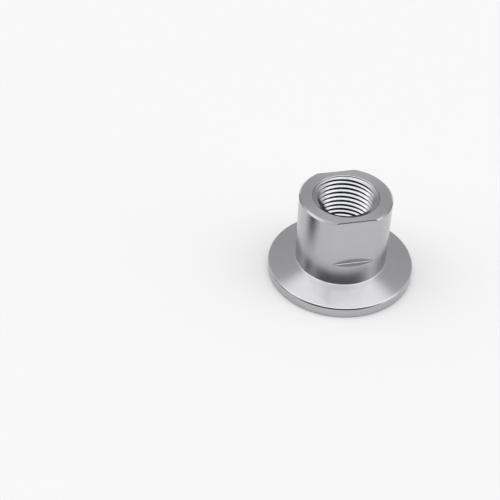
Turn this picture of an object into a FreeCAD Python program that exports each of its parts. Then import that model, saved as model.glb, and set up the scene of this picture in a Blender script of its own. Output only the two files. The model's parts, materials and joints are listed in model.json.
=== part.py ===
import FreeCAD, Part
import math
import os
import Sketcher

# A stainless vacuum adapter, turned from bar in one piece: a clamp flange with a
# recess for the centring ring, a round hub with two milled wrench flats, and a
# bore tapped with a taper pipe thread. The fine thread's turns are left out: the
# bore has the size of the drill that comes before the tap.
#
# The frame stands on the flange's sealing face: the origin is the centre of that
# face, +Z runs up the axis to the threaded mouth, and the flats face -Y and +Y.
# Lengths are in millimetres and angles in degrees.

NODE = "adapter_body"

SIZES = {
    # Clamp flange
    "flange_diameter": (40.0, "outside of the flange's rim"),
    "rim_thickness": (3.0, "straight band round the rim"),
    "taper_angle": (15.0, "slope of the back that the clamp grips"),
    "rim_edge_radius": (0.3, "rounding of both edges of the rim"),
    # Recess for the centring ring
    "recess_diameter": (26.2, "inside of the recess"),
    "recess_depth": (3.0, "floor of the recess above the sealing face"),
    "recess_edge_break": (0.3, "chamfer where the recess meets the sealing face"),
    # Hub
    "overall_height": (25.4, "sealing face to the hub's end"),
    "hub_diameter": (25.0, "outside of the hub"),
    "hub_end_chamfer": (0.5, "chamfer round the hub's end"),
    "hub_root_radius": (0.3, "tool radius where the hub meets the taper"),
    # Wrench flats
    "across_flats": (22.0, "between the two flats"),
    "flat_length": (14.0, "hub's end to the step below a flat"),
    "flat_corner_radius": (0.2, "cutter's corner between a flat and its step"),
    "flat_edge_height": (0.25, "bevel on a flat's top edge, measured down the flat"),
    "flat_edge_depth": (0.16, "the same bevel, measured across the hub's end"),
    # Tapped bore, for a 3/8-18 taper pipe thread
    "tap_drill_diameter": (14.68, "bore before tapping"),
    "mouth_diameter": (17.6, "countersink at the threaded mouth"),
    "mouth_angle": (90.0, "included angle of the countersink"),
    "bore_edge_break": (0.4, "chamfer where the bore meets the recess floor"),
}

# How near an edge has to be to the place where it is looked for
EDGE_TOLERANCE = 0.001


def make_sheet(doc):
    """Put every driving size in a spreadsheet cell that carries its name."""
    sheet = doc.addObject("Spreadsheet::Sheet", "Sizes")
    for row, (name, (value, meaning)) in enumerate(SIZES.items(), start=1):
        sheet.set("A%d" % row, name)
        sheet.set("B%d" % row, str(value))
        sheet.set("C%d" % row, meaning)
        sheet.setAlias("B%d" % row, name)
    doc.recompute()
    return sheet


def origin_feature(body, role):
    """One of the body's own origin planes or axes, by its role."""
    for feature in body.Origin.OriginFeatures:
        if feature.Role == role:
            return feature
    raise ValueError("no origin feature " + role)


def sketch_on(body, name, role):
    """An empty sketch on one of the body's origin planes."""
    sketch = body.newObject("Sketcher::SketchObject", name)
    sketch.AttachmentSupport = [(origin_feature(body, role), "")]
    sketch.MapMode = "FlatFace"
    return sketch


def closed_outline(sketch, points):
    """Join the points in a ring of lines, each upright or level line held so."""
    count = len(points)
    for index in range(count):
        start = FreeCAD.Vector(*points[index], 0)
        end = FreeCAD.Vector(*points[(index + 1) % count], 0)
        sketch.addGeometry(Part.LineSegment(start, end), False)
        if start.y == end.y:
            sketch.addConstraint(Sketcher.Constraint("Horizontal", index))
        elif start.x == end.x:
            sketch.addConstraint(Sketcher.Constraint("Vertical", index))
    for index in range(count):
        following = (index + 1) % count
        sketch.addConstraint(Sketcher.Constraint("Coincident", index, 2, following, 1))


def bind(sketch, name, expression, *constraint):
    """Add a named dimension to the sketch and tie it to the sheet."""
    index = sketch.addConstraint(Sketcher.Constraint(*constraint))
    sketch.renameConstraint(index, name)
    sketch.setExpression("Constraints." + name, expression)


def round_corner(sketch, name, expression, first, second, corner, radius):
    """Round the corner between two lines and tie the arc's radius to the sheet."""
    near = 2 * radius
    lines = [sketch.Geometry[first], sketch.Geometry[second]]
    picks = []
    for line in lines:
        ends = sorted([line.StartPoint, line.EndPoint], key=corner.distanceToPoint)
        picks.append(ends[0] + (ends[1] - ends[0]).normalize() * near)
    sketch.fillet(first, second, picks[0], picks[1], radius, True, True, False)
    arc = max(index for index, item in enumerate(sketch.Geometry)
              if isinstance(item, Part.ArcOfCircle))
    bind(sketch, name, expression, "Radius", arc, radius)


def circles_at(shape, radius, height):
    """Names of the edges that are circles of this radius at this height."""
    names = []
    for index, edge in enumerate(shape.Edges, start=1):
        if not isinstance(edge.Curve, Part.Circle):
            continue
        same_radius = abs(edge.Curve.Radius - radius) < EDGE_TOLERANCE
        same_height = abs(edge.Curve.Center.z - height) < EDGE_TOLERANCE
        if same_radius and same_height:
            names.append("Edge%d" % index)
    if not names:
        raise ValueError("no round edge of radius %.3f at height %.3f" % (radius, height))
    return names


def chamfer_edge(body, name, radius, height, size_name):
    """A chamfer on the round edge of this radius at this height."""
    base = body.Tip
    chamfer = body.newObject("PartDesign::Chamfer", name)
    chamfer.Base = (base, circles_at(base.Shape, radius, height))
    chamfer.setExpression("Size", "Sizes." + size_name)
    body.Document.recompute()


def turn_blank(body, sheet):
    """Flange rim, clamp taper and hub in one revolved section."""
    rim = sheet.flange_diameter / 2
    hub = sheet.hub_diameter / 2
    taper_top = sheet.rim_thickness + (rim - hub) * math.tan(math.radians(sheet.taper_angle))
    sketch = sketch_on(body, "blank_section", "XZ_Plane")
    closed_outline(sketch, [
        (0, 0),
        (rim, 0),
        (rim, sheet.rim_thickness),
        (hub, taper_top),
        (hub, sheet.overall_height),
        (0, sheet.overall_height),
    ])
    face, band, taper, side = 0, 1, 2, 3
    sketch.addConstraint(Sketcher.Constraint("Coincident", face, 1, -1, 1))
    bind(sketch, "rim_radius", "Sizes.flange_diameter / 2", "DistanceX", face, 1, face, 2, rim)
    bind(sketch, "rim_height", "Sizes.rim_thickness",
         "DistanceY", band, 1, band, 2, sheet.rim_thickness)
    bind(sketch, "hub_radius", "Sizes.hub_diameter / 2", "DistanceX", -1, 1, side, 1, hub)
    bind(sketch, "hub_end", "Sizes.overall_height",
         "DistanceY", -1, 1, side, 2, sheet.overall_height)
    bind(sketch, "taper_slope", "180 - Sizes.taper_angle",
         "Angle", taper, math.radians(180 - sheet.taper_angle))
    round_corner(sketch, "lower_rim_edge", "Sizes.rim_edge_radius",
                 face, band, FreeCAD.Vector(rim, 0, 0), sheet.rim_edge_radius)
    round_corner(sketch, "upper_rim_edge", "Sizes.rim_edge_radius",
                 band, taper, FreeCAD.Vector(rim, sheet.rim_thickness, 0), sheet.rim_edge_radius)
    round_corner(sketch, "hub_root", "Sizes.hub_root_radius",
                 taper, side, FreeCAD.Vector(hub, taper_top, 0), sheet.hub_root_radius)
    blank = body.newObject("PartDesign::Revolution", "turned_blank")
    blank.Profile = sketch
    blank.ReferenceAxis = (sketch, ["V_Axis"])
    blank.Angle = 360
    body.Document.recompute()

    chamfer_edge(body, "hub_end_edge", hub, sheet.overall_height, "hub_end_chamfer")


def cut_recess(body, sheet):
    """The flat-bottomed recess in the sealing face that seats the centring ring."""
    radius = sheet.recess_diameter / 2
    sketch = sketch_on(body, "recess_circle", "XY_Plane")
    sketch.addGeometry(Part.Circle(FreeCAD.Vector(0, 0, 0), FreeCAD.Vector(0, 0, 1), radius), False)
    sketch.addConstraint(Sketcher.Constraint("Coincident", 0, 3, -1, 1))
    bind(sketch, "recess_size", "Sizes.recess_diameter", "Diameter", 0, sheet.recess_diameter)
    recess = body.newObject("PartDesign::Pocket", "centring_recess")
    recess.Profile = sketch
    recess.Reversed = True
    recess.setExpression("Length", "Sizes.recess_depth")
    body.Document.recompute()

    chamfer_edge(body, "recess_edge", radius, 0, "recess_edge_break")


def tap_bore(body, sheet):
    """The drilled bore with its countersunk mouth, right through to the recess."""
    radius = sheet.tap_drill_diameter / 2
    sketch = sketch_on(body, "bore_circle", "XY_Plane")
    sketch.setExpression(".AttachmentOffset.Base.z", "Sizes.overall_height")
    sketch.addGeometry(Part.Circle(FreeCAD.Vector(0, 0, 0), FreeCAD.Vector(0, 0, 1), radius), False)
    sketch.addConstraint(Sketcher.Constraint("Coincident", 0, 3, -1, 1))
    bind(sketch, "bore_size", "Sizes.tap_drill_diameter", "Diameter", 0, sheet.tap_drill_diameter)
    body.Document.recompute()

    bore = body.newObject("PartDesign::Hole", "tapped_bore")
    bore.Profile = sketch
    bore.DepthType = "ThroughAll"
    bore.HoleCutType = "Countersink"
    bore.setExpression("Diameter", "Sizes.tap_drill_diameter")
    bore.setExpression("HoleCutDiameter", "Sizes.mouth_diameter")
    bore.setExpression("HoleCutCountersinkAngle", "Sizes.mouth_angle")
    body.Document.recompute()

    chamfer_edge(body, "bore_edge", radius, sheet.recess_depth, "bore_edge_break")


def mill_flats(body, sheet):
    """Two opposite flats that run down from a bevelled top edge to a step."""
    inner = sheet.across_flats / 2
    outer = sheet.hub_diameter / 2
    step = sheet.overall_height - sheet.flat_length
    sketch = sketch_on(body, "flat_section", "YZ_Plane")
    closed_outline(sketch, [
        (-inner, step),
        (-outer, step),
        (-outer, sheet.overall_height),
        (-inner + sheet.flat_edge_depth, sheet.overall_height),
        (-inner, sheet.overall_height - sheet.flat_edge_height),
    ])
    floor, outside, end, bevel, face = 0, 1, 2, 3, 4
    bind(sketch, "flat_place", "Sizes.across_flats / 2", "DistanceX", floor, 1, -1, 1, inner)
    bind(sketch, "cut_reach", "Sizes.hub_diameter / 2", "DistanceX", floor, 2, -1, 1, outer)
    bind(sketch, "cut_top", "Sizes.overall_height",
         "DistanceY", -1, 1, end, 1, sheet.overall_height)
    bind(sketch, "cut_length", "Sizes.flat_length",
         "DistanceY", outside, 1, outside, 2, sheet.flat_length)
    bind(sketch, "bevel_height", "Sizes.flat_edge_height",
         "DistanceY", bevel, 2, bevel, 1, sheet.flat_edge_height)
    bind(sketch, "bevel_depth", "Sizes.flat_edge_depth",
         "DistanceX", bevel, 2, bevel, 1, sheet.flat_edge_depth)
    round_corner(sketch, "step_corner", "Sizes.flat_corner_radius",
                 face, floor, FreeCAD.Vector(-inner, step, 0), sheet.flat_corner_radius)
    flat = body.newObject("PartDesign::Pocket", "wrench_flat")
    flat.Profile = sketch
    flat.SideType = "Symmetric"
    flat.setExpression("Length", "Sizes.hub_diameter")
    body.Document.recompute()

    both = body.newObject("PartDesign::Mirrored", "wrench_flats")
    both.Originals = [flat]
    both.MirrorPlane = (origin_feature(body, "XZ_Plane"), [""])
    body.Tip = both
    body.Document.recompute()


def build_adapter(doc, sheet):
    """The whole adapter: turned first, then bored, tapped and milled."""
    body = doc.addObject("PartDesign::Body", NODE)
    body.Label = NODE
    body.Placement = FreeCAD.Placement()
    turn_blank(body, sheet)
    cut_recess(body, sheet)
    tap_bore(body, sheet)
    mill_flats(body, sheet)
    return body


def check(doc, bodies):
    """Stop if a feature failed, or cut nothing, or a sub-part isn't one sound solid."""
    for item in doc.Objects:
        if "Invalid" in item.State or "Error" in item.State:
            raise RuntimeError("%s failed: %s" % (item.Name, item.State))
        if item.isDerivedFrom("Sketcher::SketchObject") and not item.FullyConstrained:
            raise RuntimeError("%s isn't fully constrained" % item.Name)
    for body in bodies:
        shape = body.Shape
        if shape.isNull() or not shape.isValid() or len(shape.Solids) != 1:
            raise RuntimeError("%s isn't one sound solid" % body.Label)
        previous = None
        for feature in body.Group:
            if not feature.isDerivedFrom("PartDesign::Feature"):
                continue
            volume = feature.Shape.Volume
            if previous is not None and volume == previous:
                raise RuntimeError("%s changes nothing" % feature.Name)
            previous = volume


def main():
    doc = FreeCAD.newDocument("adapter")
    sheet = make_sheet(doc)
    bodies = [build_adapter(doc, sheet)]
    doc.recompute()
    check(doc, bodies)
    os.makedirs("parts", exist_ok=True)
    for body in bodies:
        body.Shape.exportStep("parts/%s.step" % body.Label)
        box = body.Shape.optimalBoundingBox(True, False)
        print("%s: %.3f mm3, %.3f x %.3f x %.3f mm" % (
            body.Label, body.Shape.Volume, box.XLength, box.YLength, box.ZLength))


main()
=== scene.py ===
import bpy
import json
import math
from mathutils import Matrix, Vector


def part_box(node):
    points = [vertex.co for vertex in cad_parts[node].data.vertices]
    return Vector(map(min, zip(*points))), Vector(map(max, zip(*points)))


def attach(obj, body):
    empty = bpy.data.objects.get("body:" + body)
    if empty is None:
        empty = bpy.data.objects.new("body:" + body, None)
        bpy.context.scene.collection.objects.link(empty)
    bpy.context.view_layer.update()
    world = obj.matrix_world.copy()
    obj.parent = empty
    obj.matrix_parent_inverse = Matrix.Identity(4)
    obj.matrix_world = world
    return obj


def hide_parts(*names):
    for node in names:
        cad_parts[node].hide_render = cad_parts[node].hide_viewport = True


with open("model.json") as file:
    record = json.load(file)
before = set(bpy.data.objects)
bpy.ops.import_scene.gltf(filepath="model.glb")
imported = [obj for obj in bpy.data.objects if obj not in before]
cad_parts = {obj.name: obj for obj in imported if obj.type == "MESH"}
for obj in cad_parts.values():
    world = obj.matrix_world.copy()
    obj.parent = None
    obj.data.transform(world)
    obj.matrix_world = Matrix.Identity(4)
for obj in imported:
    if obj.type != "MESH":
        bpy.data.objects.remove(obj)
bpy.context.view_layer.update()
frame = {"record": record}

# Sizes, in metres. What the frame states is read from it.
MM = 0.001
NODE = "adapter_body"
MOUNTS = {mount["name"]: mount for mount in frame["record"]["mounts"]}
HEIGHT = round(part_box(NODE)[1].z, 6)
FLANGE_RADIUS = MOUNTS["flange_rim"]["dims"]["r_mm"] * MM
DRILL_RADIUS = MOUNTS["thread_port"]["dims"]["r_mm"] * MM
RECESS_RADIUS = MOUNTS["centring_recess"]["dims"]["r_mm"] * MM

RIM_THICKNESS = 3.0 * MM
RIM_EDGE_RADIUS = 0.3 * MM
RIM_BREAK = 0.25 * MM
RIM_BREAK_SLOPE = 1 / math.tan(math.radians(33))
RIM_BREAK_ROUNDS = (0.35 * MM, 0.1 * MM)
TAPER_SLOPE = math.tan(math.radians(15))
HUB_RADIUS = 12.5 * MM
HUB_ROOT_RADIUS = 0.3 * MM
HUB_END_CHAMFER = 0.5 * MM
FLAT_DISTANCE = 11.0 * MM
FLAT_STEP = HEIGHT - 14.0 * MM
FLAT_EDGE_BREAK = 0.25 * MM
FLAT_EDGE_SLOPE = math.tan(math.radians(33))
STEP_EDGE_BREAK = 0.03 * MM
STEP_CORNER = 0.2 * MM
STEP_SHARE = 0.3
RECESS_DEPTH = 3.0 * MM
RECESS_CORNER = 0.2 * MM
RECESS_EDGE_BREAK = 0.3 * MM
BORE_EDGE_BREAK = 0.4 * MM
SOFTENING = 0.06 * MM

# The mouth has a rounded lip and, inside it, a nearly flat face. MOUTH_SPREAD is that face's
# true slope, and MOUTH_LEAN is the slope that its shading is given.
MOUTH_RADIUS = 8.83 * MM
MOUTH_ROUND = 0.27 * MM
MOUTH_LIP = 0.34 * MM
MOUTH_SPREAD = math.tan(math.radians(88))
MOUTH_LEAN = math.tan(math.radians(64))

# Taper pipe thread, 18 turns to the inch. The lead is where the tap's first teeth ran out.
# CROWN scales the slope that shades the flanks that face up. It turns into CROWN_AT_MOUTH
# between CROWN_FADE's depths.
PITCH = 25.4 / 18 * MM
THREAD_DEPTH = 0.8 * PITCH
THREAD_SLOPE = 1 / 32
FLANK_SLOPE = 1 / math.tan(math.radians(30))
ROOT_FLAT = PITCH / 2 - THREAD_DEPTH / FLANK_SLOPE
ROOT_AT_MOUTH = 8.6 * MM
FIRST_TURN = HEIGHT - 0.8 * PITCH
LEAD_END = RECESS_DEPTH + BORE_EDGE_BREAK + 1.2 * MM
LEAD_SLOPE = 0.16
THREAD_TOP = HEIGHT - MOUTH_LIP
THREAD_BOTTOM = LEAD_END - 0.4 * MM
CREST_DEPTH = 1.0 * MM
CROWN = 0.71
CROWN_AT_MOUTH = 1.25
CROWN_FADE = (1.6 * MM, 1.0 * MM)

# Turns worked out past each end of the thread, and steps that find where a flank meets a surface
SPARE_TURNS = 2
MEETING_STEPS = 5

ARC_COLUMNS = 82
FLAT_COLUMNS = 38
ROUNDING_STEPS = 4
SAME_PLACE = 1e-8

# Tool marks: lines of one feed, bands of several, and clouds of unevenness over both
BAND_FEEDS = 8
CLOUD_SIZE = 4 * MM
FINE_SHARE = 0.6
MARK_RANGE = (0.25, 0.75)
MARK_SHADES = (0.97, 1.03)
QUARTER_TURN = 0.25

# The photograph's camera, found by fitting the rims' outlines
PICTURE = 500
FOCAL_LENGTH = 1127.2
VIEW_AZIMUTH = math.radians(18.39)
VIEW_ELEVATION = math.radians(39.766)
VIEW_ROLL = math.radians(5.569)
VIEW_DISTANCE = 308.0 * MM
AIM = Vector((0, 0, 12.0 * MM))
AIM_IN_PICTURE = (342.44, 234.67)
SENSOR = 36.0
CLIP = (1 * MM, 5000 * MM)

# Light in three tiers, each from the far side (0) round to the camera's side (1), where
# LIGHT_SCALE times 1 is a full tier. The low tier turns into the middle one between
# MIDDLE_EDGE's degrees. The top tier is an oval soft box: its half-sizes are for a height of 1,
# and OVAL_EDGE says over which share of them it fades.
FLOOR_SIZE = 6000 * MM
FLOOR_GREY = 0.73
FLOOR_ROUGHNESS = 0.9
STEEL = (0.49, 0.49, 0.505)
LIGHT_SCALE = 2.7
LOW_TIER = [(0.0, 0.21), (0.12, 0.185), (0.25, 0.18), (0.39, 0.29), (0.5, 0.45), (0.62, 0.50),
            (0.75, 0.26), (0.85, 0.09), (0.93, 0.03), (1.0, 0.03)]
MIDDLE_TIER = [(0.0, 0.215), (0.08, 0.22), (0.2, 0.47), (0.5, 0.51), (0.62, 0.50),
               (0.76, 0.42), (0.87, 0.32), (1.0, 0.29)]
TOP_TIER = [(0.0, 0.53), (0.2, 0.58), (0.4, 0.86), (0.5, 0.90), (0.65, 0.86),
            (0.85, 0.81), (1.0, 0.83)]
MIDDLE_EDGE = (22, 34)
OVAL_SIDEWAYS = 1.4
OVAL_FORWARDS = 0.7
OVAL_EDGE = (0.5, 1.05)
BACKDROP = 0.92

# What keeps the light's sums from dividing by nothing, straight up and at the horizon
LEAST_LEVEL_SQUARED = 0.001
LEAST_HEIGHT = 0.01

# A dark card that leans away from the part on its left and is seen only in its reflections.
# Its near and far ends are given as (towards the camera, to the right, up), and it fades in from
# its near end over CARD_FADE of its length.
CARD_NEAR = (11.8 * MM, -20.8 * MM, 0.3 * MM)
CARD_FAR = (15.3 * MM, -40.5 * MM, 16 * MM)
CARD_HALF_WIDTH = 13 * MM
CARD_FADE = 0.45
CARD_GREY = 0.02


def around(angle, radius, height):
    """The point at this angle round the axis, this far from it and this high."""
    return Vector((radius * math.cos(angle), radius * math.sin(angle), height))


def tilted(angle, outward, upward, sideways=0.0):
    """A unit normal from its parts away from the axis, up it and round it."""
    return Vector((
        outward * math.cos(angle) - sideways * math.sin(angle),
        outward * math.sin(angle) + sideways * math.cos(angle),
        upward,
    )).normalized()


def reach(point):
    """How far a point is from the axis."""
    return math.hypot(point.x, point.y)


def at_reach(point, radius):
    """The point moved straight towards or away from the axis."""
    scale = radius / reach(point)
    return Vector((point.x * scale, point.y * scale, point.z))


class Skin:
    """Faces over numbered points. A face has its surface's name and a normal for each corner."""

    def __init__(self):
        self.points = []
        self.faces = []

    def point(self, position):
        """Add a point and give its number."""
        self.points.append(Vector(position))
        return len(self.points) - 1

    def face(self, surface, corners, normals):
        """Add a face, less each corner that is the same point as the one before it."""
        kept = [place for place in range(len(corners)) if corners[place] != corners[place - 1]]
        if len(kept) > 2:
            self.faces.append((surface, [corners[place] for place in kept],
                               [normals[place] for place in kept]))

    def split(self, surfaces, measure, beyond):
        """Cut the named surfaces where measure(point) turns negative.

        beyond(corners) gives the surface and the normals of what lies there. A cut point is
        made once for each edge and goes into the faces on both sides of it.
        """
        values = [measure(point) for point in self.points]
        cuts = {}

        def cut(first, second):
            edge = min(first, second), max(first, second)
            if edge not in cuts:
                share = values[edge[0]] / (values[edge[0]] - values[edge[1]])
                cuts[edge] = self.point(self.points[edge[0]].lerp(self.points[edge[1]], share))
            return cuts[edge]

        pieces = []
        for surface, corners, normals in self.faces:
            lowest = min(values[corner] for corner in corners)
            highest = max(values[corner] for corner in corners)
            if surface not in surfaces or lowest > -SAME_PLACE:
                pieces.append((surface, corners, normals))
                continue
            near, near_normals, past = [], [], []
            for place, corner in enumerate(corners):
                next_place = (place + 1) % len(corners)
                here, there = values[corner], values[corners[next_place]]
                if here > -SAME_PLACE:
                    near.append(corner)
                    near_normals.append(normals[place])
                if here < SAME_PLACE:
                    past.append(corner)
                if min(here, there) < -SAME_PLACE and max(here, there) > SAME_PLACE:
                    middle = cut(corner, corners[next_place])
                    blend = normals[place].lerp(normals[next_place], here / (here - there))
                    near.append(middle)
                    near_normals.append(blend.normalized())
                    past.append(middle)
            if highest > SAME_PLACE:
                pieces.append((surface, near, near_normals))
            new_surface, new_normals = beyond(past)
            pieces.append((new_surface, past, new_normals))

        self.faces = []
        for surface, corners, normals in pieces:
            whole, whole_normals = [], []
            for place, corner in enumerate(corners):
                following = corners[(place + 1) % len(corners)]
                whole.append(corner)
                whole_normals.append(normals[place])
                middle = cuts.get((min(corner, following), max(corner, following)))
                if middle is not None:
                    whole.append(middle)
                    whole_normals.append(normals[place])
            self.face(surface, whole, whole_normals)

    def move(self, mover):
        """Move each point to mover(point)."""
        self.points = [mover(point) for point in self.points]


def column_angles():
    """Angles of the columns round the axis, with one at each upright edge of the flats."""
    edge = math.asin(FLAT_DISTANCE / HUB_RADIUS)
    spans = [
        (-edge, edge, ARC_COLUMNS),
        (edge, math.pi - edge, FLAT_COLUMNS),
        (math.pi - edge, math.pi + edge, ARC_COLUMNS),
        (math.pi + edge, 2 * math.pi - edge, FLAT_COLUMNS),
    ]
    return [start + (end - start) * step / count
            for start, end, count in spans for step in range(count)]


ANGLES = column_angles()
COLUMNS = len(ANGLES)


def section(corners):
    """A turned section through corners of (radius, height, rounding, surface that follows).

    The steel lies to the right of the way along it. Gives (radius, height, normal before,
    normal after, surface that follows) for each point, with the rounded corners as arcs.
    """
    places = [Vector(corner[:2]) for corner in corners]
    ways = [(after - before).normalized() for before, after in zip(places, places[1:])]
    sides = [Vector((-way.y, way.x)) for way in ways]
    points = [(*places[0], sides[0], sides[0], corners[0][3])]
    for number in range(1, len(places) - 1):
        radius, surface = corners[number][2:]
        before, after = sides[number - 1], sides[number]
        if radius == 0:
            points.append((*places[number], before, after, surface))
            continue
        turn = before.angle_signed(after)
        outwards = math.copysign(radius, turn)
        centre = places[number] - outwards * (before + after) / (1 + before.dot(after))
        for step in range(ROUNDING_STEPS + 1):
            normal = before.copy()
            normal.rotate(Matrix.Rotation(-turn * step / ROUNDING_STEPS, 2))
            points.append((*(centre + outwards * normal), normal, normal, surface))
    points.append((*places[-1], sides[-1], sides[-1], corners[-1][3]))
    return points


def revolve(skin, points, first_ring=None, last_ring=None):
    """Turn a section round the axis and give its last ring.

    Its first ring and its last ring can be ones that are there already.
    """
    rings = [[skin.point(around(angle, *place[:2])) for angle in ANGLES]
             for place in points[1 if first_ring else 0:-1 if last_ring else None]]
    rings = ([first_ring] if first_ring else []) + rings + ([last_ring] if last_ring else [])
    for number in range(len(points) - 1):
        start, end = points[number][3], points[number + 1][2]
        upper, lower = rings[number], rings[number + 1]
        for column in range(COLUMNS):
            following = (column + 1) % COLUMNS
            here, there = ANGLES[column], ANGLES[following]
            skin.face(
                points[number][4],
                [upper[column], lower[column], lower[following], upper[following]],
                [tilted(here, *start), tilted(here, *end),
                 tilted(there, *end), tilted(there, *start)],
            )
    return rings[-1]


def root_envelope(height):
    """Radius of the full thread's root, which closes in with depth."""
    return ROOT_AT_MOUTH - (HEIGHT - height) * THREAD_SLOPE


def root_radius(height):
    """Radius of the groove's floor, shallower in the tap's lead and gone past its end."""
    lead = DRILL_RADIUS + (height - LEAD_END) * LEAD_SLOPE
    return max(DRILL_RADIUS, min(root_envelope(height), lead))


def crest_radius(height):
    """Radius of the crests, cut flat by a reamed taper and then by the drilled bore."""
    return max(DRILL_RADIUS, root_envelope(height) - CREST_DEPTH)


# The lines that a groove draws along the helix, from below: the radius each runs at, its side
# of the groove's middle, and the slope of the flank above it, or None for a floor or a crest.
GROOVE_LINES = [
    (crest_radius, -1, FLANK_SLOPE),
    (root_radius, -1, None),
    (root_radius, 1, -FLANK_SLOPE),
    (crest_radius, 1, None),
]


def line_height(centre, radius_at, side):
    """Height where the flank on that side of a groove meets the surface radius_at(height)."""
    height = centre
    for _ in range(MEETING_STEPS):
        drop = root_envelope(height) - radius_at(height)
        height = centre + side * (ROOT_FLAT / 2 + drop / FLANK_SLOPE)
    return height


def thread_column(angle):
    """(radius, height) of each groove line at this angle, kept between the thread's ends."""
    turns = math.ceil((HEIGHT - THREAD_BOTTOM) / PITCH) + SPARE_TURNS
    places = []
    for turn in range(turns, -SPARE_TURNS - 1, -1):
        centre = FIRST_TURN + PITCH * (angle / (2 * math.pi) - turn)
        for radius_at, side, _ in GROOVE_LINES:
            height = line_height(centre, radius_at, side)
            places.append(Vector((radius_at(height), height)))
    first_over = next(number for number, place in enumerate(places) if place.y > THREAD_TOP)
    below, above = places[first_over - 1], places[first_over]
    end = below.lerp(above, (THREAD_TOP - below.y) / (above.y - below.y))
    start = Vector((DRILL_RADIUS, THREAD_BOTTOM))
    kept = [start if place.y < THREAD_BOTTOM else place for place in places[:first_over]]
    return kept + [end] * (len(places) - first_over)


def flank_normal(line, angle, radius, height):
    """The normal of the surface that lies above a groove line.

    The flanks that face up are shaded as slightly crowned, by CROWN. At the mouth they are
    shaded as worn over instead, by CROWN_AT_MOUTH.
    """
    radius_at, _, slope = GROOVE_LINES[line]
    if slope is None:
        nearby = 0.01 * MM
        slope = (radius_at(height + nearby) - radius_at(height - nearby)) / (2 * nearby)
        return tilted(angle, -1, slope)
    deep, shallow = CROWN_FADE
    share = min(1, max(0, (deep - (HEIGHT - height)) / (deep - shallow)))
    lean = CROWN + (CROWN_AT_MOUTH - CROWN) * share if slope > 0 else 1
    return tilted(angle, -1, slope * lean, -slope * PITCH / (2 * math.pi) / radius)


def cut_thread(skin):
    """The tapped bore: a helical groove between flat crests.

    The crests lie on a slight taper near the mouth, and on the drilled bore further in. Gives
    the rings of points at the thread's lower end and at its upper end.
    """
    grid = []
    for angle in ANGLES:
        numbers = []
        previous = None
        for place in thread_column(angle):
            if previous is None or (place - previous).length > SAME_PLACE:
                numbers.append(skin.point(around(angle, *place)))
            else:
                numbers.append(numbers[-1])
            previous = place
        grid.append(numbers)
    # A whole turn raises the helix by one groove, so the first column comes again one groove on
    lines = len(GROOVE_LINES)
    grid.append(grid[0][lines:] + [grid[0][-1]] * lines)

    for column in range(COLUMNS):
        here, there = ANGLES[column], ANGLES[(column + 1) % COLUMNS]
        near, far = grid[column], grid[column + 1]
        for row in range(len(near) - 1):
            corners = [near[row], near[row + 1], far[row + 1], far[row]]
            normals = []
            for corner, angle in zip(corners, (here, here, there, there)):
                point = skin.points[corner]
                normals.append(flank_normal(row % lines, angle, reach(point), point.z))
            skin.face("thread", corners, normals)
    return [numbers[0] for numbers in grid[:-1]], [numbers[-1] for numbers in grid[:-1]]


def mouth_radius(height):
    """Radius at a height of the shallow face inside the mouth's rounded lip."""
    return MOUTH_RADIUS - (THREAD_TOP - height) * MOUTH_SPREAD


def cut_mouth(skin):
    """Face the first turn inside the lip. Its shading leans by MOUTH_LEAN, as a worn edge's does."""
    def beyond(corners):
        angles = [math.atan2(skin.points[corner].y, skin.points[corner].x) for corner in corners]
        return "mouth", [tilted(angle, -1, MOUTH_LEAN) for angle in angles]

    skin.split(["thread"], lambda point: reach(point) - mouth_radius(point.z), beyond)
    skin.move(lambda point: at_reach(point, max(reach(point), mouth_radius(point.z))))


def flat_distance(height):
    """How far a flat is from the axis, with its broken top edge."""
    return FLAT_DISTANCE - max(0, height - (HEIGHT - FLAT_EDGE_BREAK)) * FLAT_EDGE_SLOPE


def mill_flats(skin):
    """Push the hub's skin in to the flats wherever it stands beyond them."""
    def beyond(corners):
        points = [skin.points[corner] for corner in corners]
        side = math.copysign(1, points[0].y)
        middle = sum(point.z for point in points) / len(points)
        if middle > HEIGHT - FLAT_EDGE_BREAK:
            return "flat_edge", [Vector((0, side, FLAT_EDGE_SLOPE)).normalized()] * len(corners)
        return "flat", [Vector((0, side, 0))] * len(corners)

    def pushed(point):
        excess = abs(point.y) / flat_distance(point.z)
        return at_reach(point, reach(point) / excess) if excess > 1 else point

    skin.split(["hub", "hub_edge"], lambda point: flat_distance(point.z) - abs(point.y), beyond)
    skin.move(pushed)


def corner_turns():
    """How far the surface has turned at each ring of the cutter's corner round."""
    return [math.pi / 2 * step / ROUNDING_STEPS for step in range(ROUNDING_STEPS + 1)]


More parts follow.
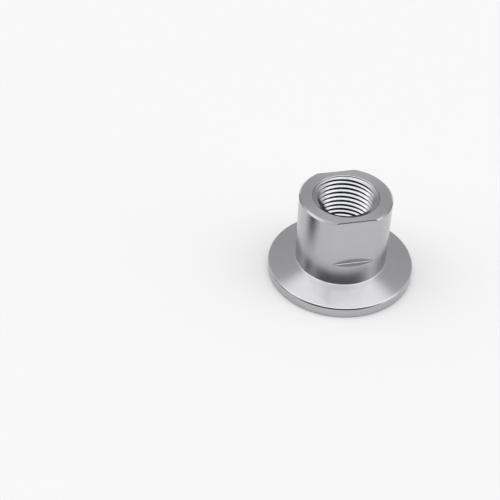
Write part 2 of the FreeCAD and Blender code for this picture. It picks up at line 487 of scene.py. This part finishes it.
def close_steps(skin, upper_ring):
    """The steps under the flats, and the ring below them.

    The cutter's corner round lies above each step, and its front edge is broken. Where the step
    is narrow, neither takes more than STEP_SHARE of it.
    """
    corner_rings = [[] for _ in range(ROUNDING_STEPS)]
    under_edge, over_edge = [], []
    for angle, number in zip(ANGLES, upper_ring):
        width = HUB_RADIUS - reach(skin.points[number])
        if width < SAME_PLACE:
            for ring in (*corner_rings, over_edge, under_edge):
                ring.append(number)
            continue
        edge = min(STEP_EDGE_BREAK, STEP_SHARE * width)
        corner = min(STEP_CORNER, STEP_SHARE * width)
        foot = skin.points[number].copy()
        skin.points[number].z += corner
        outwards = math.copysign(corner, foot.y)
        for ring, turn in zip(corner_rings, corner_turns()[1:]):
            out, down = 1 - math.cos(turn), 1 - math.sin(turn)
            ring.append(skin.point(foot + Vector((0, outwards * out, corner * down))))
        over_edge.append(skin.point(around(angle, HUB_RADIUS - edge, FLAT_STEP)))
        under_edge.append(skin.point(around(angle, HUB_RADIUS, FLAT_STEP - edge)))

    up = Vector((0, 0, 1))
    rings = [upper_ring, *corner_rings]
    for column in range(COLUMNS):
        following = (column + 1) % COLUMNS
        side = math.copysign(1, math.sin((ANGLES[column] + ANGLES[following]) / 2))
        for number, (turn, next_turn) in enumerate(zip(corner_turns(), corner_turns()[1:])):
            above, below = rings[number], rings[number + 1]
            normals = [Vector((0, side * math.cos(value), math.sin(value)))
                       for value in (turn, next_turn, next_turn, turn)]
            skin.face("step_corner", [above[column], below[column],
                                      below[following], above[following]], normals)
        inner = corner_rings[-1]
        skin.face("step", [inner[column], over_edge[column],
                           over_edge[following], inner[following]], [up] * 4)
        outwards = [tilted(ANGLES[place], 1, 0) for place in (column, following)]
        skin.face("step_edge", [over_edge[column], under_edge[column],
                                under_edge[following], over_edge[following]], [up, *outwards, up])
    return under_edge


def adapter_skin():
    """The whole adapter as one closed skin."""
    skin = Skin()
    thread_end, thread_start = cut_thread(skin)
    cut_mouth(skin)

    # The polished edge of the mouth's lip is as wide as the lip is deep
    end_radius = HUB_RADIUS - HUB_END_CHAMFER
    step_ring = revolve(skin, section([
        (MOUTH_RADIUS, THREAD_TOP, 0, "mouth_wall"),
        (MOUTH_RADIUS, HEIGHT, MOUTH_ROUND, "mouth_edge"),
        (MOUTH_RADIUS + MOUTH_LIP, HEIGHT, 0, "end_face"),
        (end_radius, HEIGHT, SOFTENING, "hub_edge"),
        (end_radius + FLAT_EDGE_BREAK, HEIGHT - FLAT_EDGE_BREAK, 0, "hub_edge"),
        (HUB_RADIUS, HEIGHT - HUB_END_CHAMFER, SOFTENING, "hub"),
        (HUB_RADIUS, FLAT_STEP, 0, "hub"),
    ]), first_ring=thread_start)
    mill_flats(skin)
    under_step = close_steps(skin, step_ring)

    taper_top = RIM_THICKNESS + (FLANGE_RADIUS - HUB_RADIUS) * TAPER_SLOPE
    rim_edge_top = RIM_THICKNESS + RIM_BREAK * TAPER_SLOPE
    revolve(skin, section([
        (HUB_RADIUS, FLAT_STEP, 0, "hub"),
        (HUB_RADIUS, taper_top, HUB_ROOT_RADIUS, "taper"),
        (FLANGE_RADIUS - RIM_BREAK, rim_edge_top, RIM_BREAK_ROUNDS[0], "rim_edge"),
        (FLANGE_RADIUS, rim_edge_top - RIM_BREAK * RIM_BREAK_SLOPE, RIM_BREAK_ROUNDS[1], "rim"),
        (FLANGE_RADIUS, 0, RIM_EDGE_RADIUS, "seal_face"),
        (RECESS_RADIUS + RECESS_EDGE_BREAK, 0, SOFTENING, "recess_edge"),
        (RECESS_RADIUS, RECESS_EDGE_BREAK, SOFTENING, "recess"),
        (RECESS_RADIUS, RECESS_DEPTH, RECESS_CORNER, "recess_floor"),
        (DRILL_RADIUS + BORE_EDGE_BREAK, RECESS_DEPTH, SOFTENING, "bore_edge"),
        (DRILL_RADIUS, RECESS_DEPTH + BORE_EDGE_BREAK, SOFTENING, "bore"),
        (DRILL_RADIUS, THREAD_BOTTOM, 0, "bore"),
    ]), first_ring=under_step, last_ring=thread_end)
    return skin


class Nodes:
    """A node tree with short calls for the nodes used here."""

    def __init__(self, tree):
        self.tree = tree

    def add(self, kind, settings=None, **inputs):
        """Add a node, set it up, and set or link its inputs by name."""
        node = self.tree.nodes.new(kind)
        for name, value in (settings or {}).items():
            setattr(node, name, value)
        for name, value in inputs.items():
            self.feed(node.inputs[name.replace("_", " ")], value)
        return node

    def feed(self, socket, value):
        """Link a node's output to a socket, or set the socket to a plain value."""
        if isinstance(value, bpy.types.NodeSocket):
            self.tree.links.new(value, socket)
        else:
            socket.default_value = value

    def math(self, operation, *values):
        """A Math node's result."""
        node = self.tree.nodes.new("ShaderNodeMath")
        node.operation = operation
        for socket, value in zip(node.inputs, values):
            self.feed(socket, value)
        return node.outputs[0]

    def along_way(self, direction, way):
        """How far a direction reaches along a fixed one."""
        node = self.add("ShaderNodeVectorMath", {"operation": "DOT_PRODUCT"})
        self.feed(node.inputs[0], direction)
        self.feed(node.inputs[1], way)
        return node.outputs["Value"]

    def mix(self, share, first, second):
        """A number between two others, by the float sockets of a Mix node."""
        node = self.tree.nodes.new("ShaderNodeMix")
        node.data_type = "FLOAT"
        for number, value in ((0, share), (2, first), (3, second)):
            self.feed(node.inputs[number], value)
        return node.outputs[0]

    def ramp(self, value, stops):
        """A value passed through grey stops of (position, grey), with eased steps."""
        node = self.tree.nodes.new("ShaderNodeValToRGB")
        node.color_ramp.interpolation = "EASE"
        elements = node.color_ramp.elements
        while len(elements) < len(stops):
            elements.new(1.0)
        for element, (position, grey) in zip(elements, stops):
            element.position = position
            element.color = (grey, grey, grey, 1)
        self.feed(node.inputs["Fac"], value)
        return node.outputs["Color"]

    def between(self, value, low, high, to_low, to_high, kind="SMOOTHSTEP"):
        """A value mapped from one range to another, and held at its ends."""
        node = self.tree.nodes.new("ShaderNodeMapRange")
        node.interpolation_type = kind
        for socket, number in zip(node.inputs, (value, low, high, to_low, to_high)):
            self.feed(socket, number)
        return node.outputs["Result"]


def along(nodes, direction):
    """The coordinate, in metres, that a surface's tool marks repeat along."""
    place = nodes.add("ShaderNodeTexCoord").outputs["Object"]
    parts = nodes.add("ShaderNodeSeparateXYZ", Vector=place).outputs
    if direction == "height":
        return place, parts["Z"]
    if direction == "across":
        return place, parts["X"]
    square = nodes.math("ADD", nodes.math("MULTIPLY", parts["X"], parts["X"]),
                        nodes.math("MULTIPLY", parts["Y"], parts["Y"]))
    return place, nodes.math("SQRT", square)


def steel(name, direction="radius", roughness=0.3, stretch=0.0, painted_shade=1.0,
          feed=0.12 * MM, mark_depth=0.0003 * MM, unevenness=0.04):
    """Machined stainless steel, with tool marks that repeat along one direction.

    The marks are lines of a fine feed within broader bands, and they vary the roughness and the
    height. A larger, cloudy unevenness comes from handling and cleaning.
    """
    material = bpy.data.materials.new(name)
    material.use_nodes = True
    nodes = Nodes(material.node_tree)
    shader = material.node_tree.nodes["Principled BSDF"]
    place, way = along(nodes, direction)

    fine = nodes.add("ShaderNodeTexNoise", {"noise_dimensions": "1D"},
                     W=nodes.math("MULTIPLY", way, 1 / feed), Scale=1.0, Detail=2.0)
    bands = nodes.add("ShaderNodeTexNoise", {"noise_dimensions": "1D"},
                      W=nodes.math("MULTIPLY", way, 1 / (BAND_FEEDS * feed)), Scale=1.0, Detail=3.0)
    clouds = nodes.add("ShaderNodeTexNoise", Vector=place, Scale=1 / CLOUD_SIZE, Detail=4.0)
    marks = nodes.math("ADD", nodes.math("MULTIPLY", fine.outputs["Fac"], FINE_SHARE),
                       nodes.math("MULTIPLY", bands.outputs["Fac"], 1 - FINE_SHARE))

    spread = nodes.math("ADD", nodes.math("MULTIPLY", marks, unevenness),
                        nodes.math("MULTIPLY", clouds.outputs["Fac"], unevenness))
    nodes.feed(shader.inputs["Roughness"], nodes.math("ADD", spread, roughness - unevenness))

    # Inputs 6 and 7 and output 2 are a Mix node's colour sockets
    shade = nodes.between(marks, *MARK_RANGE, *MARK_SHADES, "LINEAR")
    colour = nodes.add("ShaderNodeMix", {"data_type": "RGBA", "blend_type": "MULTIPLY"})
    nodes.feed(colour.inputs["Factor"], 1.0)
    # A factor below 1 here darkens the steel's colour as painted shade, for the surfaces inside the
    # bore
    nodes.feed(colour.inputs[6], [part * painted_shade for part in STEEL] + [1])
    nodes.feed(colour.inputs[7], shade)
    nodes.feed(shader.inputs["Base Color"], colour.outputs[2])

    bump = nodes.add("ShaderNodeBump", Height=marks, Strength=1.0, Distance=mark_depth)
    nodes.feed(shader.inputs["Normal"], bump.outputs["Normal"])
    shader.inputs["Metallic"].default_value = 1
    if stretch:
        shader.inputs["Anisotropic"].default_value = stretch
        shader.inputs["Anisotropic Rotation"].default_value = QUARTER_TURN
        tangent = nodes.add("ShaderNodeTangent", {"direction_type": "RADIAL", "axis": "Z"})
        nodes.feed(shader.inputs["Tangent"], tangent.outputs["Tangent"])
    return material


# How each surface was cut, which its steel shows. The thread, the mouth's face, its wall and, a
# little, its rounded edge are also made darker than the steel: painted shade inside the bore,
# strongest on the wall.
FINISHES = {
    "end_face": dict(direction="radius", roughness=0.31, stretch=0.8),
    "seal_face": dict(direction="radius", roughness=0.26, stretch=0.7, feed=0.08 * MM),
    "taper": dict(direction="radius", roughness=0.15, stretch=0.4, unevenness=0.03),
    "recess_floor": dict(direction="radius", roughness=0.34, stretch=0.8),
    "hub": dict(direction="height", roughness=0.235, stretch=0.6),
    "rim": dict(direction="height", roughness=0.2, stretch=0.5),
    "rim_edge": dict(direction="height", roughness=0.1, unevenness=0.02),
    "recess": dict(direction="height", roughness=0.3, stretch=0.8),
    "bore": dict(direction="height", roughness=0.3, stretch=0.6),
    # The thread and the mouth's face are darkened as painted shade, for the shade deep in the
    # thread's grooves
    "thread": dict(direction="height", roughness=0.12, feed=0.05 * MM, painted_shade=0.8),
    "mouth": dict(direction="radius", roughness=0.14, stretch=0.3, painted_shade=0.8),
    # The mouth's wall is darkened strongly as a painted reflection of the dark bore
    "mouth_wall": dict(direction="height", roughness=0.2, unevenness=0.02, painted_shade=0.25),
    "mouth_edge": dict(direction="radius", roughness=0.09, unevenness=0.02, painted_shade=0.9),
    "hub_edge": dict(direction="radius", roughness=0.14, stretch=0.3, unevenness=0.02),
    "recess_edge": dict(direction="radius", roughness=0.16, stretch=0.3),
    "bore_edge": dict(direction="radius", roughness=0.16, stretch=0.3),
    "flat": dict(direction="height", roughness=0.18, feed=0.3 * MM, unevenness=0.02),
    "step_corner": dict(direction="across", roughness=0.16, unevenness=0.02),
    "step": dict(direction="across", roughness=0.16, feed=0.2 * MM, unevenness=0.02),
    "flat_edge": dict(direction="across", roughness=0.14, unevenness=0.02),
    "step_edge": dict(direction="across", roughness=0.16, unevenness=0.02),
}


def make_adapter():
    """One mesh of the whole adapter, with a material for each surface and the skin's normals."""
    skin = adapter_skin()
    surfaces = list(FINISHES)
    mesh = bpy.data.meshes.new("adapter")
    mesh.from_pydata(skin.points, [], [corners for _, corners, _ in skin.faces])
    for surface, finish in FINISHES.items():
        mesh.materials.append(steel(surface, **finish))
    mesh.polygons.foreach_set(
        "material_index", [surfaces.index(surface) for surface, _, _ in skin.faces])
    mesh.polygons.foreach_set("use_smooth", [True] * len(mesh.polygons))
    mesh.normals_split_custom_set([normal for _, _, normals in skin.faces for normal in normals])
    adapter = bpy.data.objects.new("adapter", mesh)
    bpy.context.scene.collection.objects.link(adapter)
    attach(adapter, "root")
    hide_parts(NODE)


def place_camera():
    """The photograph's camera, turned so that AIM falls where the photograph has it."""
    flat = math.cos(VIEW_ELEVATION)
    forward = Vector((math.sin(VIEW_AZIMUTH) * flat, math.cos(VIEW_AZIMUTH) * flat,
                      -math.sin(VIEW_ELEVATION)))
    level = Vector((math.cos(VIEW_AZIMUTH), -math.sin(VIEW_AZIMUTH), 0))
    rise = level.cross(forward)
    location = AIM - VIEW_DISTANCE * forward

    right = math.cos(VIEW_ROLL) * level + math.sin(VIEW_ROLL) * rise
    up = right.cross(forward)
    across = (AIM_IN_PICTURE[0] - PICTURE / 2) / FOCAL_LENGTH
    down = (AIM_IN_PICTURE[1] - PICTURE / 2) / FOCAL_LENGTH
    yaw = math.atan(across)
    pitch = -math.atan(down / math.hypot(1, across))
    swung = math.sin(pitch) * up - math.cos(pitch) * forward
    true_right = math.cos(yaw) * right - math.sin(yaw) * swung
    true_up = math.cos(pitch) * up + math.sin(pitch) * forward
    true_back = true_right.cross(true_up)

    data = bpy.data.cameras.new("camera")
    data.sensor_width = SENSOR
    data.lens = FOCAL_LENGTH / PICTURE * SENSOR
    data.clip_start, data.clip_end = CLIP
    camera = bpy.data.objects.new("camera", data)
    axes = Matrix((true_right, true_up, true_back)).transposed()
    camera.matrix_world = Matrix.Translation(location) @ axes.to_4x4()
    bpy.context.scene.collection.objects.link(camera)
    bpy.context.scene.camera = camera


def make_floor():
    """A plain pale floor."""
    bpy.ops.mesh.primitive_plane_add(size=FLOOR_SIZE)
    floor = bpy.context.object
    floor.name = "floor"
    material = bpy.data.materials.new("pale_floor")
    material.use_nodes = True
    shader = material.node_tree.nodes["Principled BSDF"]
    shader.inputs["Base Color"].default_value = (FLOOR_GREY, FLOOR_GREY, FLOOR_GREY, 1)
    shader.inputs["Roughness"].default_value = FLOOR_ROUGHNESS
    shader.inputs["Specular IOR Level"].default_value = 0
    floor.data.materials.append(material)


def in_studio(forwards, rightwards, upwards):
    """A point given as the photographer would: towards the camera, to the right and up."""
    front = Vector((-math.sin(VIEW_AZIMUTH), -math.cos(VIEW_AZIMUTH), 0))
    right = Vector((math.cos(VIEW_AZIMUTH), -math.sin(VIEW_AZIMUTH), 0))
    return forwards * front + rightwards * right + Vector((0, 0, upwards))


def make_card():
    """A dark card with soft sides that gives the hub its dark streak."""
    near, far = in_studio(*CARD_NEAR), in_studio(*CARD_FAR)
    across = (far - near).cross(Vector((0, 0, 1))).normalized() * CARD_HALF_WIDTH
    mesh = bpy.data.meshes.new("card")
    mesh.from_pydata([near - across, near + across, far + across, far - across],
                     [], [(0, 1, 2, 3)])
    layer = mesh.uv_layers.new(name="card")
    for corner, place in zip(layer.data, ((0, 0), (1, 0), (1, 1), (0, 1))):
        corner.uv = place
    material = bpy.data.materials.new("card")
    material.use_nodes = True
    tree = material.node_tree
    tree.nodes.remove(tree.nodes["Principled BSDF"])
    nodes = Nodes(tree)
    place = nodes.add("ShaderNodeSeparateXYZ",
                      Vector=nodes.add("ShaderNodeTexCoord").outputs["UV"]).outputs
    cover = nodes.math("MULTIPLY", nodes.between(place["X"], 0, 0.5, 0, 1),
                       nodes.between(place["X"], 0.5, 1, 1, 0))
    cover = nodes.math("MULTIPLY", cover, nodes.between(place["Y"], 0, CARD_FADE, 0, 1))
    dark = nodes.add("ShaderNodeBsdfDiffuse", Color=(CARD_GREY, CARD_GREY, CARD_GREY, 1))
    mixer = nodes.add("ShaderNodeMixShader")
    nodes.feed(mixer.inputs[0], cover)
    nodes.feed(mixer.inputs[1], nodes.add("ShaderNodeBsdfTransparent").outputs[0])
    nodes.feed(mixer.inputs[2], dark.outputs[0])
    nodes.feed(tree.nodes["Material Output"].inputs["Surface"], mixer.outputs[0])
    mesh.materials.append(material)
    card = bpy.data.objects.new("card", mesh)
    bpy.context.scene.collection.objects.link(card)
    card.visible_camera = False
    card.visible_diffuse = False
    card.visible_shadow = False


def make_light():
    """Plain soft studio light: a broad oval soft box overhead, with softer sides below it.

    The photographer's side is dark, the left and right sides are bright and the far side is
    grey. The camera itself sees a plain pale backdrop.
    """
    world = bpy.data.worlds.new("studio")
    bpy.context.scene.world = world
    world.use_nodes = True
    nodes = Nodes(world.node_tree)
    direction = nodes.add("ShaderNodeTexCoord").outputs["Generated"]
    height = nodes.add("ShaderNodeSeparateXYZ", Vector=direction).outputs["Z"]
    facing = nodes.along_way(direction, in_studio(1, 0, 0))
    sideways = nodes.along_way(direction, in_studio(0, 1, 0))
    level_squared = nodes.math("SUBTRACT", 1.0, nodes.math("MULTIPLY", height, height))
    level = nodes.math("SQRT", nodes.math("MAXIMUM", level_squared, LEAST_LEVEL_SQUARED))
    turned = nodes.between(nodes.math("DIVIDE", facing, level), -1, 1, 0, 1, "LINEAR")
    above = nodes.math("MAXIMUM", height, LEAST_HEIGHT)
    across = nodes.math("DIVIDE", sideways, nodes.math("MULTIPLY", above, OVAL_SIDEWAYS))
    ahead = nodes.math("DIVIDE", facing, nodes.math("MULTIPLY", above, OVAL_FORWARDS))
    outwards = nodes.math("ADD", nodes.math("MULTIPLY", across, across),
                          nodes.math("MULTIPLY", ahead, ahead))
    edges = [math.sin(math.radians(angle)) for angle in MIDDLE_EDGE]
    light = nodes.mix(nodes.between(height, *edges, 0, 1),
                      nodes.ramp(turned, LOW_TIER), nodes.ramp(turned, MIDDLE_TIER))
    light = nodes.mix(nodes.between(outwards, *OVAL_EDGE, 1, 0),
                      light, nodes.ramp(turned, TOP_TIER))
    light = nodes.math("MULTIPLY", light, LIGHT_SCALE)
    seen = nodes.add("ShaderNodeLightPath").outputs["Is Camera Ray"]
    background = world.node_tree.nodes["Background"]
    background.inputs["Color"].default_value = (1, 1, 1, 1)
    nodes.feed(background.inputs["Strength"], nodes.mix(seen, light, BACKDROP))
    bpy.context.scene.view_settings.view_transform = "Standard"


make_adapter()
place_camera()
make_floor()
make_card()
make_light()
